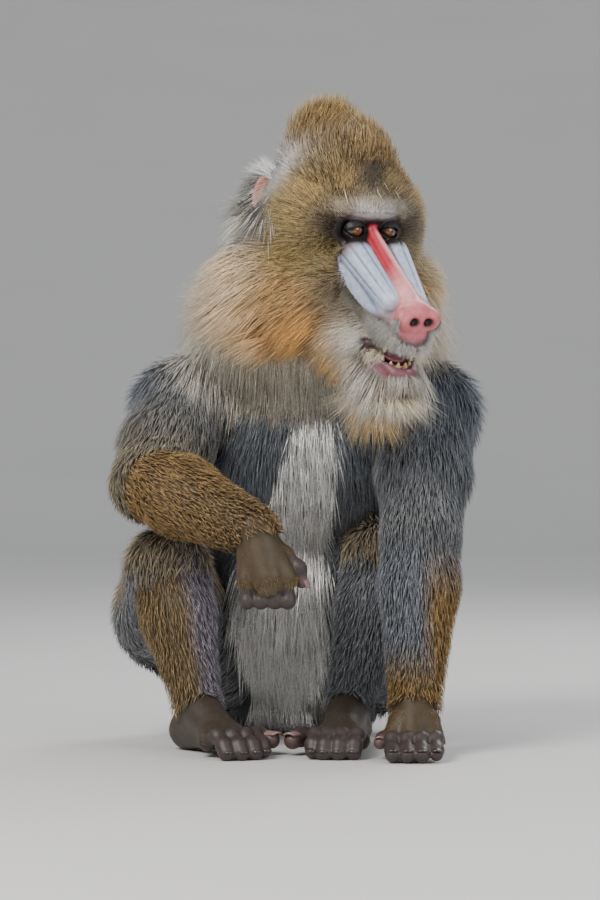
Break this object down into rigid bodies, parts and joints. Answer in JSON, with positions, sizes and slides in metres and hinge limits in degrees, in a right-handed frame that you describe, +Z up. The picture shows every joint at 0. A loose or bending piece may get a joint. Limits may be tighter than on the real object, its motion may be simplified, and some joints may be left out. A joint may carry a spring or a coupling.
{
  "type": "mandrill",
  "caption": "Life-size still model of a seated adult male mandrill, head turned to its left, one hand raised at the knee, one on the floor.",
  "frame": {"origin": "middle of the model's bounding box, at the floor it sits on", "axes": "+Z up; the trunk faces -Y; +X is the animal's left side"},
  "size_m": [0.4502, 0.5764, 0.8152],
  "materials": {
    "gold_coat": "golden olive fur with a pale ruff",
    "grey_coat": "blue-grey fur",
    "olive_coat": "olive-brown fur",
    "dark_skin": "bare dark skin, matt",
    "pale_skin": "bare pink skin, matt",
    "eye_brown": "wet amber-brown eye",
    "ivory": "yellowed tooth enamel"
  },
  "bodies": {
    "root": {"head": "gold_coat", "neck": "grey_coat", "torso": "grey_coat", "tail": "grey_coat", "ear_left": "pale_skin", "ear_right": "pale_skin", "eye_left": "eye_brown", "eye_right": "eye_brown", "teeth_upper": "ivory", "teeth_lower": "ivory", "tongue": "pale_skin", "upper_arm_left": "grey_coat", "upper_arm_right": "grey_coat", "forearm_left": "olive_coat", "forearm_right": "olive_coat", "hand_left": "dark_skin", "hand_right": "dark_skin", "thigh_left": "grey_coat", "thigh_right": "grey_coat", "shank_left": "olive_coat", "shank_right": "olive_coat", "foot_left": "dark_skin", "foot_right": "dark_skin"}
  },
  "joints": []
}
